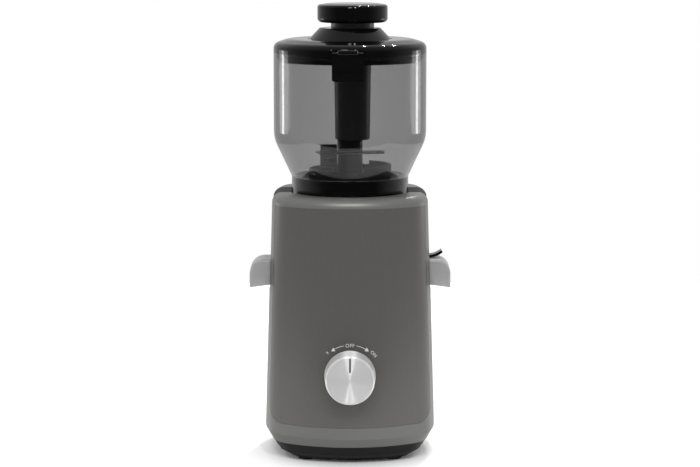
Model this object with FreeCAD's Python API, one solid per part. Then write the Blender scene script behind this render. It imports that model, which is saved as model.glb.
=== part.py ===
import FreeCAD, Part
import math
import os

# Cold press juicer with a wide hopper, in millimetres.
# The tower stands on z = 0, its front faces -Y and its drive axis is the Z axis.
Vector = FreeCAD.Vector
Z_AXIS = Vector(0, 0, 1)
Y_AXIS = Vector(0, 1, 0)
X_AXIS = Vector(1, 0, 0)

# Clearances: pieces that only seat, pieces that slide, shafts that run in a bore
seat_gap = 0.1
slide_gap = 0.4
running_gap = 0.05
grip_gap = 0.02

# Tower body: outline in plan and the heights of its edges
widest_z = 28.0
skirt_z = 19.0
panel_bottom_z = 39.5
seam_z = 254.0
top_z = 264.0
body_half_width = 85.0
body_half_depth = 82.0
body_lean = 0.0305
skirt_tuck = 5.3
face_bow = 115.0
side_bow = 180.0
corner_radius = 28.0
housing_wall = 3.0
top_rounding = 9.5
panel_gauge = 1.2
panel_edge_inset = 4.7
panel_corner = 14.0

# Base pan and feet
pan_floor_z = 2.5
pan_bend_z = 9.0
pan_bend_tuck = 12.5
pan_floor_tuck = 23.0
pan_wall = 3.0
foot_radius = 8.0
foot_height = 4.0
foot_x = 43.0
foot_y = 40.0
base_screw_x = body_half_width - 15.0
base_screw_y = 30.0
base_screw_radius = 1.5
base_screw_head = 2.0
base_screw_recess = 4.0
base_boss_radius = 5.0
base_boss_height = 30.0
vent_count = 7
vent_width = 3.0
vent_spacing = 7.0
vent_half_length = 17.0

# Well that the drum drops into, and the side slots its spouts pass through
well_radius = 60.0
well_wall = 2.5
deck_z = 161.0
deck_thickness = 3.0
slot_half_width = 20.0
slot_floor_z = 165.0

# Drum and spouts
drum_radius = 57.5
drum_wall = 2.5
drum_floor_z = 166.0
drum_top_z = 247.0
spout_reach = 100.0
spout_half_width = 17.5
spout_top_z = 196.0
spout_bottom_z = 170.6
spout_tip_z = 168.0
spout_corner = 14.5
spout_wall = 2.0
mouth_length = 14.0
drum_hub_radius = 14.0
drum_bore_radius = 12.0

# Juice lever and gate over the right spout
lever_x = 74.0
lever_z = spout_top_z + 3.3
lever_half_width = 6.0
lever_barrel_radius = 2.9
lever_pin_radius = 1.2
lever_tip_x = 92.6
lever_tip_z = lever_z + 4.5
lever_gauge = 2.6
gate_gauge = 3.0
gate_top_z = spout_top_z - 6.0

# Filter basket and auger
filter_radius = 47.5
filter_wall = 1.5
filter_top_z = 246.0
filter_slots = 20
filter_slot_width = 4.0
auger_foot_radius = 10.0
auger_disc_radius = 42.0
auger_disc_z = 171.2
auger_disc_thickness = 3.0
auger_core_low = 36.0
auger_core_high = 15.0
auger_core_top_z = 258.0
auger_top_z = 274.0
auger_flight_low = 44.5
auger_flight_high = 42.2
auger_flight_turns = 1.5
auger_flights = 2
flight_root_gauge = 7.0
flight_tip_gauge = 3.0
stub_flats = 14.0

# Cutter on top of the auger
dish_radius = 41.0
dish_z = 279.6
dish_thickness = 3.4
dish_rim_gauge = 2.5
dish_rim_z = 286.0
dish_wall_z = 290.0
hub_radius = 12.5
hub_top_z = 314.0
wing_z = 300.8
wing_gauge = 1.6
wing_reach = 34.3
wing_half_width = 6.5
blade_near_x = -12.9
blade_far_x = -29.4
blade_top_z = 310.6
blade_gauge = 1.5
blade_y = -9.0

# Hopper, feed collar and their seals
hopper_radius = 75.6
hopper_wall = 2.5
hopper_top_z = 401.0
hopper_bend_z = 316.0
hopper_bend_radius = 34.0
neck_radius = 58.0
neck_top_z = 278.6
throat_radius = 43.0
collar_top_z = 279.3
collar_bottom_z = 235.0

# Lid, its rear hinge and its front latch
lid_spigot_radius = 71.0
lid_spigot_z = 392.3
lid_shoulder_z = 414.4
cone_foot_radius = 40.0
cone_top_radius = 30.0
cone_top_z = 425.0
lid_wall = 3.0
hinge_y = 80.0
hinge_z = 404.0
hinge_pin_radius = 2.0
hinge_barrel_radius = 4.0
hinge_tongue_half_width = 7.8
hinge_lug_gauge = 3.0
latch_x = -2.0
latch_half_width = 15.3
latch_pivot_y = -80.5
latch_pivot_z = 405.0
latch_gauge = 3.0
latch_bottom_z = 377.7
latch_lip_z = 385.7
latch_barrel_radius = 2.6
latch_pin_radius = 1.5
latch_lug_width = 5.8

# Pusher
pusher_x = 2.5
pusher_stem_top = 18.85
pusher_stem_low = 17.15
pusher_stem_z = 314.6
pusher_neck_radius = 21.35
pusher_neck_z = 430.4
pusher_cap_radius = 34.7
pusher_cap_top_z = 449.0
pusher_wall = 2.2

# Dial knob on the front panel
knob_z = 92.0
knob_radius = 25.0
knob_face_radius = 22.4
knob_shoulder_radius = 23.9
knob_length = 23.3
knob_back_y = -body_half_depth - 0.7
knob_face_y = knob_back_y - knob_length
pointer_proud = 0.15
knob_bevel = 1.6
knob_wall = 2.5
plinth_radius = 23.0
switch_shaft_radius = 3.0
switch_neck_radius = 5.0
switch_half_side = 13.0
switch_face_y = 6.1 - body_half_depth
switch_depth = 18.0

# Motor, with its axis on the drive axis
can_radius = 34.0
can_wall = 2.0
can_z = 38.0
can_top_z = 103.0
end_cap_thickness = 5.0
motor_shaft_radius = 2.5
bearing_radius = 6.0
stator_z = 48.0
stator_top_z = 94.0
rotor_radius = 20.0
air_gap = 0.6
motor_poles = 8
pole_slot_width = 5.0
winding_height = 5.0
fan_radius = 28.0
fan_blades = 10

# Gear train: two stages whose centre distances are equal
gear_spacing = 30.0
first_module = 1.0
first_pinion_teeth = 10
second_module = 1.25
second_pinion_teeth = 10
pressure_angle = 22.0
tooth_backlash = 0.18
case_radius = 31.0
case_wall = 2.5
case_z = 108.0
case_top_z = 148.2
gear_lid_z = 152.0
ear_x = 36.0
ear_front_y = -8.0
ear_rear_y = 38.0
ear_radius = 5.5
gear_screw_radius = 1.5
first_gear_z = 114.0
first_gear_width = 6.0
second_gear_z = 124.0
second_gear_width = 10.0
compound_pin_radius = 3.0
output_shaft_radius = 6.0
output_collar_radius = 8.5
output_bush_radius = 9.0
output_flats = 12.0
output_top_z = 178.0

# Small pieces inside and at the rear
gland_z = 40.0
gland_radius = 6.0
gland_bore = 3.0
sleeve_tip_radius = 4.6
sleeve_ribs = 6
sleeve_rib_width = 1.4
board_z = 12.0
board_gauge = 1.6
board_half_width = 36.0
board_near_y = 22.0
board_far_y = 56.0
board_post_inset = 7.0
board_post_radius = 3.0
relay_width = 16.0
relay_depth = 12.0
relay_height = 10.0
capacitor_radius = 5.0
capacitor_height = 12.0


def box(x_low, x_high, y_low, y_high, z_low, z_high):
    """Block between two corners."""
    return Part.makeBox(x_high - x_low, y_high - y_low, z_high - z_low, Vector(x_low, y_low, z_low))


def rod(radius, z_low, z_high, x=0.0, y=0.0):
    """Upright cylinder."""
    return Part.makeCylinder(radius, z_high - z_low, Vector(x, y, z_low))


def ring(outer, inner, z_low, z_high, x=0.0, y=0.0):
    """Upright tube."""
    return rod(outer, z_low, z_high, x, y).cut(rod(inner, z_low, z_high, x, y))


def rod_along_y(radius, y_low, y_high, x, z):
    """Cylinder along the Y axis."""
    return Part.makeCylinder(radius, y_high - y_low, Vector(x, y_low, z), Y_AXIS)


def rod_along_x(radius, x_low, x_high, y, z):
    """Cylinder along the X axis."""
    return Part.makeCylinder(radius, x_high - x_low, Vector(x_low, y, z), X_AXIS)


def rounded_wire(corners):
    """Closed wire through (point, radius) corners, each rounded by a tangent arc."""
    edges = []
    starts = []
    ends = []
    arcs = []
    for index, (corner, radius) in enumerate(corners):
        before = (corners[index - 1][0] - corner).normalize()
        after = (corners[(index + 1) % len(corners)][0] - corner).normalize()
        half_angle = before.getAngle(after) / 2
        reach = radius / math.tan(half_angle)
        start = corner + before * reach
        end = corner + after * reach
        starts.append(start)
        ends.append(end)
        if radius > 0:
            bisector = (before + after).normalize()
            middle = corner + bisector * (radius / math.sin(half_angle) - radius)
            arcs.append(Part.Arc(start, middle, end).toShape())
        else:
            arcs.append(None)
    for index in range(len(corners)):
        if arcs[index]:
            edges.append(arcs[index])
        edges.append(Part.LineSegment(ends[index], starts[(index + 1) % len(corners)]).toShape())
    return Part.Wire(edges)


def flat_face(corners):
    """Face inside a rounded wire."""
    return Part.Face(rounded_wire(corners))


def in_xz(outline, y=0.0):
    """Outline points given as (x, z) or (x, z, radius), set in a plane of constant y."""
    return [(Vector(point[0], y, point[1]), point[2] if len(point) > 2 else 0.0) for point in outline]


def turned(outline, x=0.0):
    """Solid of revolution about an upright axis, from an (r, z) outline."""
    solid = flat_face(in_xz(outline)).revolve(Vector(0, 0, 0), Z_AXIS, 360)
    solid.translate(Vector(x, 0, 0))
    return solid


def slab_along_y(outline, y_low, y_high):
    """Outline in x and z, drawn out along Y."""
    return flat_face(in_xz(outline, y_low)).extrude(Vector(0, y_high - y_low, 0))


def slab_along_x(outline, x_low, x_high):
    """Outline in y and z, drawn out along X."""
    corners = [(Vector(x_low, point[0], point[1]), point[2] if len(point) > 2 else 0.0) for point in outline]
    return flat_face(corners).extrude(Vector(x_high - x_low, 0, 0))


def hexagon(flats, z_low, z_high):
    """Upright hexagonal bar."""
    reach = flats / 2 / math.cos(math.pi / 6)
    points = [Vector(reach * math.cos(k * math.pi / 3), reach * math.sin(k * math.pi / 3), z_low) for k in range(7)]
    return Part.Face(Part.makePolygon(points)).extrude(Vector(0, 0, z_high - z_low))


def sector(radius, first_angle, last_angle, z_low, z_high):
    """Wedge of a disc between two angles in degrees."""
    wedge = Part.makeCylinder(radius, z_high - z_low, Vector(0, 0, z_low), Z_AXIS, last_angle - first_angle)
    wedge.rotate(Vector(0, 0, 0), Z_AXIS, first_angle)
    return wedge


def spread(solid, count):
    """Copies of a solid at equal angles round the Z axis."""
    copies = []
    for k in range(count):
        copy = solid.copy()
        copy.rotate(Vector(0, 0, 0), Z_AXIS, 360.0 * k / count)
        copies.append(copy)
    return copies


def corner_points(x, y):
    """Four points mirrored across both axes."""
    return [(sx * x, sy * y) for sx in (-1, 1) for sy in (-1, 1)]


def tower_wire(half_width, half_depth, z, inset=0.0):
    """Plan of the tower: four bowed sides, joined by corner arcs tangent to them."""
    width = half_width - inset
    depth = half_depth - inset
    face = face_bow - inset
    side = side_bow - inset
    corner = corner_radius - inset
    face_centre = Vector(0, face - depth, z)
    side_centre = Vector(width - side, 0, z)
    apart = side_centre - face_centre
    span = apart.Length
    along = apart * (1 / span)
    across = Vector(along.y, -along.x, 0)
    if across.x < 0:
        across = across * -1
    from_face = face - corner
    from_side = side - corner
    step = (from_face ** 2 - from_side ** 2 + span ** 2) / (2 * span)
    centre = face_centre + along * step + across * math.sqrt(from_face ** 2 - step ** 2)
    to_face = (centre - face_centre).normalize()
    to_side = (centre - side_centre).normalize()
    on_face = face_centre + to_face * face
    on_side = side_centre + to_side * side
    on_corner = centre + (to_face + to_side).normalize() * corner

    def mirrored(point, sx, sy):
        return Vector(sx * point.x, sy * point.y, z)

    arcs = [
        (mirrored(on_face, -1, 1), Vector(0, -depth, z), on_face),
        (on_face, on_corner, on_side),
        (on_side, Vector(width, 0, z), mirrored(on_side, 1, -1)),
        (mirrored(on_side, 1, -1), mirrored(on_corner, 1, -1), mirrored(on_face, 1, -1)),
        (mirrored(on_face, 1, -1), Vector(0, depth, z), mirrored(on_face, -1, -1)),
        (mirrored(on_face, -1, -1), mirrored(on_corner, -1, -1), mirrored(on_side, -1, -1)),
        (mirrored(on_side, -1, -1), Vector(-width, 0, z), mirrored(on_side, -1, 1)),
        (mirrored(on_side, -1, 1), mirrored(on_corner, -1, 1), mirrored(on_face, -1, 1)),
    ]
    return Part.Wire([Part.Arc(*points).toShape() for points in arcs])


def body_wire(z, inset=0.0):
    """Plan of the leaning tower at a height."""
    lean = body_lean * (z - widest_z)
    return tower_wire(body_half_width - lean, body_half_depth - lean, z, inset)


def skirt_wire(inset=0.0):
    """Plan at the bottom edge of the housing, tucked in under the widest line."""
    return tower_wire(body_half_width - skirt_tuck, body_half_depth - skirt_tuck, skirt_z, inset)


def body_block(z_low, z_high, inset=0.0):
    """Solid of the tower between two heights."""
    return Part.makeLoft([body_wire(z_low, inset), body_wire(z_high, inset)], True, True)


def panel_region(margin):
    """Prism in front of the tower with the outline of the front panel, grown by a margin."""
    low = panel_bottom_z - margin
    high = seam_z
    low_half = body_half_width - body_lean * (low - widest_z) - panel_edge_inset + margin
    high_half = body_half_width - body_lean * (high - widest_z) - panel_edge_inset + margin
    outline = [
        (-low_half, low, panel_corner),
        (low_half, low, panel_corner),
        (high_half, high),
        (-high_half, high),
    ]
    return slab_along_y(outline, -body_half_depth - 10, -body_half_depth / 4)


def front_skin(depth, margin):
    """Outer layer of the tower's front, of some depth, inside the panel's outline."""
    skin = body_block(panel_bottom_z - 2, seam_z).cut(body_block(panel_bottom_z - 2, seam_z, depth))
    return skin.common(panel_region(margin))


def make_housing():
    """Tower shell, open above and below, with slots for the spouts and a recess for the panel."""
    outer = Part.makeLoft([skirt_wire(), body_wire(widest_z), body_wire(seam_z)], True, True)
    inside = [skirt_wire(housing_wall), body_wire(widest_z, housing_wall), body_wire(seam_z, housing_wall)]
    inner = Part.makeLoft(inside, True, True)
    shell = outer.cut(inner)
    reach = body_half_width + 5
    shell = shell.cut(box(-reach, reach, -slot_half_width, slot_half_width, slot_floor_z, seam_z + 1))
    shell = shell.cut(front_skin(panel_gauge + seat_gap, seat_gap))
    shell = shell.cut(rod_along_y(switch_neck_radius + seat_gap, -body_half_depth - 5, -body_half_depth / 2, 0, knob_z))
    shell = shell.cut(rod_along_y(gland_radius + seat_gap, body_half_depth / 2, body_half_depth + 5, 0, gland_z))
    boss_top = skirt_z + base_boss_height
    for x, y in corner_points(base_screw_x, base_screw_y):
        boss = rod(base_boss_radius, skirt_z, boss_top, x, y)
        rib_ends = sorted((x, math.copysign(reach, x)))
        rib = box(rib_ends[0], rib_ends[1], y - 1.5, y + 1.5, skirt_z, boss_top)
        shell = shell.fuse(boss.fuse(rib).common(outer))
        shell = shell.cut(rod(base_screw_radius + grip_gap, skirt_z, boss_top - 10, x, y))
    return shell


def make_front_panel():
    """Bent metal sheet let into the front of the housing."""
    sheet = front_skin(panel_gauge, -seat_gap)
    sheet = sheet.cut(box(-100, 100, -100, 0, seam_z - seat_gap, seam_z + 1))
    return sheet.cut(rod_along_y(switch_neck_radius + seat_gap, -body_half_depth - 5, -body_half_depth / 2, 0, knob_z))


def make_top_cover():
    """Rim of the tower with the well, its deck and the channels for the spouts in one moulding."""
    well_outer = well_radius + well_wall
    rim = body_block(seam_z, top_z)
    top_edges = [edge for edge in rim.Edges if abs(edge.BoundBox.ZMin - top_z) < 0.01]
    rim = rim.makeFillet(top_rounding, top_edges)
    rim = rim.cut(body_block(seam_z, top_z - 3.5, housing_wall + 2))
    well = rod(well_outer, deck_z - deck_thickness, top_z - 2)
    channel_half = slot_half_width + well_wall
    channel = box(-body_half_width, body_half_width, -channel_half, channel_half, slot_floor_z - well_wall, top_z - 2)
    channel = channel.common(body_block(slot_floor_z - well_wall, top_z - 2, housing_wall + 2 * seat_gap))
    cover = rim.fuse(well).fuse(channel)
    cover = cover.cut(rod(well_radius, deck_z, top_z + 1))
    mouth = Part.makeCone(well_radius, well_radius + 2, 2, Vector(0, 0, top_z - 2))
    cover = cover.cut(mouth)
    reach = body_half_width + 5
    cover = cover.cut(box(-reach, reach, -slot_half_width, slot_half_width, slot_floor_z, top_z + 1))
    for x, y in gear_ear_points():
        cover = cover.fuse(rod(ear_radius - 1, gear_lid_z, deck_z - deck_thickness, x, y))
        cover = cover.cut(rod(gear_screw_radius + grip_gap, gear_lid_z, deck_z - 1, x, y))
    return cover.cut(rod(output_bush_radius + grip_gap, gear_lid_z, deck_z + 1))


def pan_wires(inset, floor_z):
    """Sections of the base pan: floor, bend and upper edge."""
    share = (floor_z - pan_floor_z) / (pan_bend_z - pan_floor_z)
    floor_tuck = pan_floor_tuck + (pan_bend_tuck - pan_floor_tuck) * share
    return [
        tower_wire(body_half_width - floor_tuck, body_half_depth - floor_tuck, floor_z, inset),
        tower_wire(body_half_width - pan_bend_tuck, body_half_depth - pan_bend_tuck, pan_bend_z, inset),
        skirt_wire(inset),
    ]


def make_base_pan():
    """Black pan that closes the tower from below, with screw bosses, board posts and foot pockets."""
    outer = Part.makeLoft(pan_wires(0, pan_floor_z), True, True)
    inner = Part.makeLoft(pan_wires(pan_wall, pan_floor_z + pan_wall), True, True)
    pan = outer.cut(inner)
    for x, y in corner_points(base_screw_x, base_screw_y):
        pan = pan.fuse(rod(base_boss_radius + 1, pan_floor_z, skirt_z, x, y).common(outer))
        pan = pan.cut(rod(base_screw_radius + seat_gap, pan_floor_z, skirt_z, x, y))
        pan = pan.cut(rod(base_boss_radius - 1, 0, pan_bend_z + base_screw_recess, x, y))
    for x, y in board_posts():
        pan = pan.fuse(rod(board_post_radius, pan_floor_z + 1, board_z, x, y))
    for x, y in corner_points(foot_x, foot_y):
        pan = pan.cut(rod(foot_radius + seat_gap, 0, foot_height, x, y))
    for k in range(vent_count):
        x = (k - (vent_count - 1) / 2) * vent_spacing
        pan = pan.cut(vent_slot(x))
    return pan


def vent_slot(x):
    """Round-ended slot through the pan's floor, under the motor's fan."""
    half = vent_width / 2
    top = pan_floor_z + pan_wall + 1
    slot = box(x - half, x + half, -vent_half_length, vent_half_length, 0, top)
    for y in (-vent_half_length, vent_half_length):
        slot = slot.fuse(rod(half, 0, top, x, y))
    return slot


def make_feet():
    """Four rubber feet pressed into the pan's pockets."""
    feet = []
    for x, y in corner_points(foot_x, foot_y):
        foot = rod(foot_radius, 0, foot_height, x, y)
        rim = [edge for edge in foot.Edges if edge.BoundBox.ZMax < 0.01 and edge.Closed]
        feet.append(foot.makeFillet(0.6, rim))
    return Part.makeCompound(feet)


def make_base_screws():
    """Four screws that hold the pan to the housing."""
    screws = []
    head_z = pan_bend_z + base_screw_recess
    for x, y in corner_points(base_screw_x, base_screw_y):
        head = rod(2 * base_screw_radius, head_z - base_screw_head, head_z, x, y)
        shank = rod(base_screw_radius, head_z, skirt_z + base_boss_height - 12, x, y)
        screws.append(head.fuse(shank))
    return Part.makeCompound(screws)


def board_posts():
    """Centres of the four posts under the control board."""
    far_x = board_half_width - board_post_inset
    rows = (board_near_y + board_post_inset, board_far_y - board_post_inset)
    return [(x, y) for x in (-far_x, far_x) for y in rows]


def make_control_board():
    """Circuit board with its relay and capacitor."""
    top = board_z + board_gauge
    board = box(-board_half_width, board_half_width, board_near_y, board_far_y, board_z, top)
    middle_y = (board_near_y + board_far_y) / 2
    relay_near = middle_y - relay_depth / 2
    relay = box(-relay_width - 2, -2, relay_near, relay_near + relay_depth, top, top + relay_height)
    capacitor = rod(capacitor_radius, top, top + capacitor_height, relay_width, middle_y)
    return board.fuse(relay).fuse(capacitor)


def make_cord_gland():
    """Strain relief in the rear wall: flange, and a ribbed sleeve that tapers outwards.

    Its tip is as far behind the drive axis as the dial reaches in front of it.
    """
    wall_y = body_half_depth - body_lean * (gland_z - widest_z)
    flange_radius = gland_radius + 2.5
    flange_y = wall_y + seat_gap + body_lean * flange_radius
    tip_y = pointer_proud - knob_face_y
    sleeve = rod_along_y(gland_radius, wall_y - housing_wall - 5, flange_y + 1, 0, gland_z)
    taper = Part.makeCone(gland_radius, sleeve_tip_radius, tip_y - flange_y, Vector(0, flange_y, gland_z), Y_AXIS)
    flange = rod_along_y(flange_radius, flange_y, flange_y + 2, 0, gland_z)
    gland = sleeve.fuse(taper).fuse(flange)
    pitch = (tip_y - flange_y - 4) / sleeve_ribs
    for k in range(sleeve_ribs):
        near = flange_y + 3 + k * pitch
        far = near + pitch - sleeve_rib_width
        groove = rod_along_y(gland_radius + 1, near, far, 0, gland_z)
        groove = groove.cut(rod_along_y(gland_bore + 1, near, far, 0, gland_z))
        bridge = box(-1.2, 1.2, near - 1, far + 1, gland_z - 9, gland_z + 9)
        if k % 2:
            bridge = box(-9, 9, near - 1, far + 1, gland_z - 1.2, gland_z + 1.2)
        gland = gland.cut(groove.cut(bridge))
    return gland.cut(rod_along_y(gland_bore, wall_y - 20, tip_y + 1, 0, gland_z))


def spout_outline(inset, wall_x):
    """Side view of a spout's outer or inner form, in x and z."""
    top = spout_top_z - inset
    reach = spout_reach - inset
    corner = spout_corner - inset
    return [
        (wall_x, spout_bottom_z),
        (spout_reach - mouth_length - 5, spout_bottom_z),
        (reach, spout_tip_z),
        (reach, top, corner),
        (wall_x, top),
    ]


def make_spout():
    """Right-hand spout and the space inside it, as two solids."""
    start_x = drum_radius - drum_wall - 3
    shell = slab_along_y(spout_outline(0, start_x), -spout_half_width, spout_half_width)
    long_edges = [edge for edge in shell.Edges if is_spout_rim(edge)]
    shell = shell.makeFillet(2.5, long_edges)
    floor_z = spout_bottom_z + spout_wall + 0.4
    mouth_x = spout_reach - spout_wall - mouth_length
    top = spout_top_z - spout_wall
    outline = [
        (start_x - 1, floor_z),
        (mouth_x, floor_z),
        (mouth_x, spout_tip_z - 5),
        (spout_reach - spout_wall, spout_tip_z - 5),
        (spout_reach - spout_wall, top, spout_corner - spout_wall),
        (start_x - 1, top),
    ]
    half = spout_half_width - spout_wall
    return shell, slab_along_y(outline, -half, half)


def is_spout_rim(edge):
    """True for the edges round the two sides of a spout, above its floor."""
    box_of_edge = edge.BoundBox
    on_side = abs(abs(box_of_edge.Center.y) - spout_half_width) < 0.01
    above_floor = box_of_edge.ZMax > spout_bottom_z + 5
    outside = box_of_edge.XMax > drum_radius
    return on_side and above_floor and outside


def make_drum():
    """Juicing bowl with a pulp spout on the left and a juice spout on the right."""
    inner = drum_radius - drum_wall
    floor_top = drum_floor_z + 3
    drum = rod(drum_radius, drum_floor_z, drum_top_z)
    foot = ring(inner - 1, inner - 5, deck_z, drum_floor_z)
    hub = rod(drum_hub_radius, deck_z + 2, drum_floor_z)
    drum = drum.fuse(foot).fuse(hub)
    shell, hollow = make_spout()
    left_shell = shell.mirror(Vector(0, 0, 0), X_AXIS)
    left_hollow = hollow.mirror(Vector(0, 0, 0), X_AXIS)
    drum = drum.fuse(shell).fuse(left_shell)
    drum = drum.cut(rod(inner, floor_top, drum_top_z + 1))
    drum = drum.cut(hollow).cut(left_hollow)
    drum = drum.cut(rod(drum_bore_radius, deck_z, floor_top + 1))
    drum = drum.cut(rod(plug_radius() + running_gap, deck_z, floor_top + 1, plug_x()))
    slot_half = lever_half_width - 1
    drum = drum.cut(box(lever_x - 3.5, lever_x + 6.5, -slot_half, slot_half, spout_top_z - 5, spout_top_z + 1))
    lug = slab_along_y(
        [
            (lever_x - 5, spout_top_z - 1),
            (lever_x + 5, spout_top_z - 1),
            (lever_x + 2, lever_z + 3, 2.0),
            (lever_x - 2, lever_z + 3, 2.0),
        ],
        0,
        2.5,
    )
    for y in (lever_half_width + 0.8, -lever_half_width - 3.3):
        piece = lug.copy()
        piece.translate(Vector(0, y, 0))
        drum = drum.fuse(piece)
    pin_reach = lever_half_width + 5
    return drum.cut(rod_along_y(lever_pin_radius + grip_gap, -pin_reach, pin_reach, lever_x, lever_z))


def plug_radius():
    """Radius of the clean-out plug in the drum's floor."""
    return drum_wall * 3.6


def plug_x():
    """Centre of the clean-out plug, under the pulp channel."""
    return -(drum_bore_radius + filter_radius) / 2


def make_pulp_plug():
    """Silicone clean-out plug with its flange under the drum's floor."""
    stem = rod(plug_radius(), drum_floor_z, drum_floor_z + 3, plug_x())
    return stem.fuse(rod(plug_radius() + 2, drum_floor_z - 2.5, drum_floor_z, plug_x()))


def make_drum_seal():
    """Silicone sleeve between the drum's bore and the auger's foot."""
    return ring(drum_bore_radius - running_gap, auger_foot_radius + 0.3, deck_z + 2.5, drum_floor_z + 2.5)


def make_juice_lever():
    """Curved lever with the gate that hangs from it inside the spout."""
    low_z = spout_top_z + 0.4
    lower = Part.Arc(
        Vector(lever_x + 4, 0, low_z),
        Vector(lever_x + 12, 0, low_z + 1.3),
        Vector(lever_tip_x, 0, lever_tip_z - lever_gauge + 0.4),
    )
    upper = Part.Arc(
        Vector(lever_tip_x - 1.5, 0, lever_tip_z),
        Vector(lever_x + 11.3, 0, low_z + 1.3 + lever_gauge),
        Vector(lever_x + 4, 0, low_z + lever_gauge),
    )
    edges = [
        lower.toShape(),
        Part.LineSegment(lower.EndPoint, upper.StartPoint).toShape(),
        upper.toShape(),
        Part.LineSegment(upper.EndPoint, Vector(lever_x, 0, low_z + lever_gauge)).toShape(),
        Part.LineSegment(Vector(lever_x, 0, low_z + lever_gauge), Vector(lever_x, 0, low_z)).toShape(),
        Part.LineSegment(Vector(lever_x, 0, low_z), lower.StartPoint).toShape(),
    ]
    arm = Part.Face(Part.Wire(edges)).extrude(Vector(0, 2 * lever_half_width, 0))
    arm.translate(Vector(0, -lever_half_width, 0))
    barrel = rod_along_y(lever_barrel_radius, -lever_half_width, lever_half_width, lever_x, lever_z)
    neck_half = lever_half_width - 2.5
    neck = box(lever_x - gate_gauge / 2, lever_x + gate_gauge / 2, -neck_half, neck_half, gate_top_z - 2, lever_z)
    gate_half = spout_half_width - spout_wall - 1.0
    gate_low = spout_bottom_z + spout_wall + 0.9
    gate = box(lever_x - gate_gauge / 2, lever_x + gate_gauge / 2, -gate_half, gate_half, gate_low, gate_top_z)
    lever = arm.fuse(barrel).fuse(neck).fuse(gate)
    reach = lever_half_width + 1
    return lever.cut(rod_along_y(lever_pin_radius + running_gap, -reach, reach, lever_x, lever_z))


def make_lever_pin():
    """Steel pin through the lever and the lugs on the spout."""
    reach = lever_half_width + 3.2
    return rod_along_y(lever_pin_radius, -reach, reach, lever_x, lever_z)


def make_filter_basket():
    """Strainer with upright slots and a window for the pulp."""
    floor_z = drum_floor_z + 3
    basket = ring(filter_radius, filter_radius - filter_wall, floor_z, filter_top_z)
    slot = box(filter_radius - 5, filter_radius + 1, -filter_slot_width / 2, filter_slot_width / 2, floor_z + 24, filter_top_z - 12)
    basket = basket.cut(Part.makeCompound(spread(slot, filter_slots)))
    window_half = spout_half_width - 5
    return basket.cut(box(-filter_radius - 1, -filter_radius + 6, -window_half, window_half, floor_z + 3, floor_z + 19))


def auger_core_radius(z):
    """Radius of the tapering core at a height."""
    low_z = auger_disc_z + auger_disc_thickness
    share = (z - low_z) / (auger_core_top_z - low_z)
    return auger_core_low + (auger_core_high - auger_core_low) * share


def make_auger_flight():
    """Helical flight that tapers in height and thickness, lofted through turned sections."""
    low_z = auger_disc_z + auger_disc_thickness + 3
    high_z = auger_core_top_z + 2
    steps = int(auger_flight_turns * 24)
    sections = []
    for k in range(steps + 1):
        share = k / steps
        z = low_z + (high_z - low_z) * share
        angle = 2 * math.pi * auger_flight_turns * share
        outer = auger_flight_low + (auger_flight_high - auger_flight_low) * share
        inner = auger_core_radius(min(z, auger_core_top_z)) - 4
        root = flight_root_gauge / 2
        tip = flight_tip_gauge / 2
        outline = [(inner, z - root), (outer, z - tip), (outer, z + tip), (inner, z + root)]
        points = [Vector(r * math.cos(angle), r * math.sin(angle), height) for r, height in outline]
        sections.append(Part.makePolygon(points + points[:1]))
    return Part.makeLoft(sections, True, True)


def make_auger():
    """Squeezing screw: core, bottom disc, drive socket and helical flights."""
    disc_top = auger_disc_z + auger_disc_thickness
    core = turned([
        (0, deck_z + 1.5),
        (auger_foot_radius, deck_z + 1.5),
        (auger_foot_radius, auger_disc_z),
        (auger_disc_radius, auger_disc_z),
        (auger_disc_radius, disc_top),
        (auger_core_low, disc_top, 2.0),
        (auger_core_high, auger_core_top_z, 8.0),
        (auger_core_high, auger_top_z),
        (0, auger_top_z),
    ])
    screw = core.fuse(spread(make_auger_flight(), auger_flights))
    screw = screw.fuse(hexagon(stub_flats, auger_top_z - 1, dish_z + dish_thickness))
    return screw.cut(hexagon(output_flats + 0.3, deck_z, output_top_z + 1))


def make_cutter_dish():
    """Turning dish with a feed window and a rim that rises on one side."""
    top = dish_z + dish_thickness
    inner = dish_radius - dish_rim_gauge
    dish = rod(dish_radius, dish_z, top)
    dish = dish.fuse(ring(dish_radius, inner, top, dish_rim_z))
    dish = dish.fuse(ring(dish_radius, inner, dish_rim_z, dish_wall_z).common(sector(dish_radius + 1, -70, 60, dish_rim_z, dish_wall_z)))
    dish = dish.fuse(rod(auger_core_high, auger_top_z, dish_z))
    window = sector(dish_radius - 5, 205, 290, dish_z - 1, top + 1).cut(rod(auger_core_high + 2, dish_z - 1, top + 1))
    dish = dish.cut(window)
    return dish.cut(hexagon(stub_flats + 2 * seat_gap, auger_top_z, top + 1))


def make_cutter_hub():
    """Lower hub between the dish and the wing blade."""
    low = dish_z + dish_thickness
    return rod(hub_radius, low, wing_z)


def make_hub_cap():
    """Upper hub that clamps the wing blade."""
    low = wing_z + wing_gauge
    return turned([(0, low), (hub_radius, low), (hub_radius, hub_top_z, 1.5), (0, hub_top_z)])


def make_wing_blade():
    """Thin two-wing blade with swept tips."""
    half = wing_half_width
    points = [
        Vector(-wing_reach, half - 3, wing_z),
        Vector(-wing_reach + 4, -half, wing_z),
        Vector(wing_reach - 14, -half, wing_z),
        Vector(wing_reach, -half + 3, wing_z),
        Vector(wing_reach - 4, half, wing_z),
        Vector(-wing_reach + 14, half, wing_z),
    ]
    return Part.Face(Part.makePolygon(points + points[:1])).extrude(Vector(0, 0, wing_gauge))


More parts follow.
